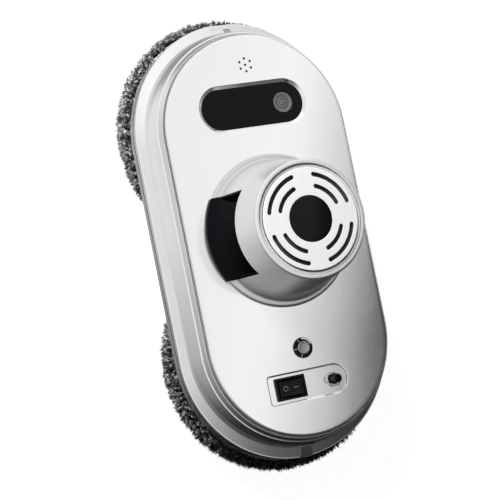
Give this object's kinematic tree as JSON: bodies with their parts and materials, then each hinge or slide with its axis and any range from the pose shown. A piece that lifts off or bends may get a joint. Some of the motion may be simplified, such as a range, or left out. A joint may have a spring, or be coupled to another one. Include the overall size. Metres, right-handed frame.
{
  "type": "window cleaning robot",
  "caption": "Oval window cleaning robot with a round carrying handle that holds its suction fan, a sensor window, a start button, a rocker switch, a power socket and spinning microfibre pads.",
  "frame": {"origin": "on the glass plane, at the middle of the two pads' outline", "axes": "+Z out of the glass, +Y along the body towards the sensor window, +X to the right seen from above"},
  "size_m": [0.152, 0.3052, 0.1119],
  "materials": {
    "pearl_plastic": "pearl white, high gloss",
    "cover_plastic": "silver white pearl, high gloss",
    "gloss_black": "piano black",
    "matt_black": "fine matt black",
    "tinted_window": "dark tinted, polished",
    "sensor_grey": "smoked grey, ringed",
    "button_silver": "satin silver",
    "trim_grey": "satin grey",
    "disc_plastic": "moulded white",
    "hook_tape": "hook-and-loop tape",
    "microfibre": "short salt-and-pepper pile",
    "steel": "bright steel",
    "nickel": "nickel plated",
    "motor_can": "drawn can",
    "brass_gear": "cut brass",
    "gear_nylon": "natural nylon",
    "board": "circuit board green",
    "cell_wrap": "blue shrink sleeve",
    "soft_seal": "soft black rubber",
    "foam": "open foam"
  },
  "bodies": {
    "body": {"top_cover": "cover_plastic", "side_shell": "pearl_plastic", "base_plate": "pearl_plastic", "handle_housing": "pearl_plastic", "handle_collar": "pearl_plastic", "vent_cap": "pearl_plastic", "vent_trim_ring": "trim_grey", "boss_cap": "gloss_black", "left_grip": "gloss_black", "right_grip": "gloss_black", "silencer_foam": "foam", "sensor_window": "tinted_window", "sensor_lens": "sensor_grey", "sensor_board": "board", "speaker": "matt_black", "button_bezel": "gloss_black", "tact_switch": "matt_black", "control_board": "board", "switch_housing": "gloss_black", "power_socket": "nickel", "socket_nut": "nickel", "main_board": "board", "battery_cells": "cell_wrap", "battery_cradle": "matt_black", "fan_motor": "motor_can", "motor_mount": "trim_grey", "inlet_plate": "trim_grey", "suction_duct": "trim_grey", "duct_cover": "trim_grey", "suction_seals": "soft_seal", "case_screws": "steel", "handle_screws": "steel", "edge_sensors": "gloss_black", "rope_bar": "steel", "front_motor": "motor_can", "front_idler_pin": "steel", "front_gear_bracket": "steel", "front_hub_bush": "trim_grey", "rear_motor": "motor_can", "rear_idler_pin": "steel", "rear_gear_bracket": "steel", "rear_hub_bush": "trim_grey"},
    "start_button": {"start_button": "button_silver"},
    "rocker": {"rocker": "gloss_black"},
    "impeller": {"impeller": "matt_black", "fan_shaft": "steel"},
    "front_pad": {"front_pad": "microfibre", "front_hook_ring": "hook_tape", "front_pad_disc": "disc_plastic", "front_drive_gear": "brass_gear"},
    "front_idler": {"front_idler_gear": "gear_nylon"},
    "front_pinion": {"front_pinion": "steel"},
    "rear_pad": {"rear_pad": "microfibre", "rear_hook_ring": "hook_tape", "rear_pad_disc": "disc_plastic", "rear_drive_gear": "brass_gear"},
    "rear_idler": {"rear_idler_gear": "gear_nylon"},
    "rear_pinion": {"rear_pinion": "steel"}
  },
  "joints": [
    {"name": "front_pad_spin", "type": "hinge", "parent": "body", "child": "front_pad", "pos_m": [0, 0.0766, 0.01], "axis": [0, 0, 1], "continuous": true},
    {"name": "front_idler_spin", "type": "hinge", "parent": "body", "child": "front_idler", "pos_m": [0.03524, 0.06377, 0.036], "axis": [0, 0, 1], "continuous": true},
    {"name": "front_pinion_spin", "type": "hinge", "parent": "body", "child": "front_pinion", "pos_m": [0.03524, 0.03752, 0.04], "axis": [0, 0, 1], "continuous": true},
    {"name": "rear_pad_spin", "type": "hinge", "parent": "body", "child": "rear_pad", "pos_m": [0, -0.0766, 0.01], "axis": [0, 0, 1], "continuous": true},
    {"name": "rear_idler_spin", "type": "hinge", "parent": "body", "child": "rear_idler", "pos_m": [-0.03524, -0.06377, 0.036], "axis": [0, 0, 1], "continuous": true},
    {"name": "rear_pinion_spin", "type": "hinge", "parent": "body", "child": "rear_pinion", "pos_m": [-0.03524, -0.03752, 0.04], "axis": [0, 0, 1], "continuous": true},
    {"name": "impeller_spin", "type": "hinge", "parent": "body", "child": "impeller", "pos_m": [0, 0.0018, 0.072], "axis": [0, 0, 1], "continuous": true},
    {"name": "start_button_press", "type": "slide", "parent": "body", "child": "start_button", "axis": [0, 0, -1], "range_m": [0, 0.0008], "stiffness_N_per_m": 400},
    {"name": "rocker_tilt", "type": "hinge", "parent": "body", "child": "rocker", "pos_m": [-0.0136, -0.0997, 0.0602], "axis": [0, 1, 0], "range_deg": [0, 20]}
  ],
  "couplings": [
    {"joint": "front_idler_spin", "follows": "front_pad_spin", "ratio": -3.2857},
    {"joint": "front_pinion_spin", "follows": "front_pad_spin", "ratio": 8.2143},
    {"joint": "rear_idler_spin", "follows": "rear_pad_spin", "ratio": -3.2857},
    {"joint": "rear_pinion_spin", "follows": "rear_pad_spin", "ratio": 8.2143}
  ]
}
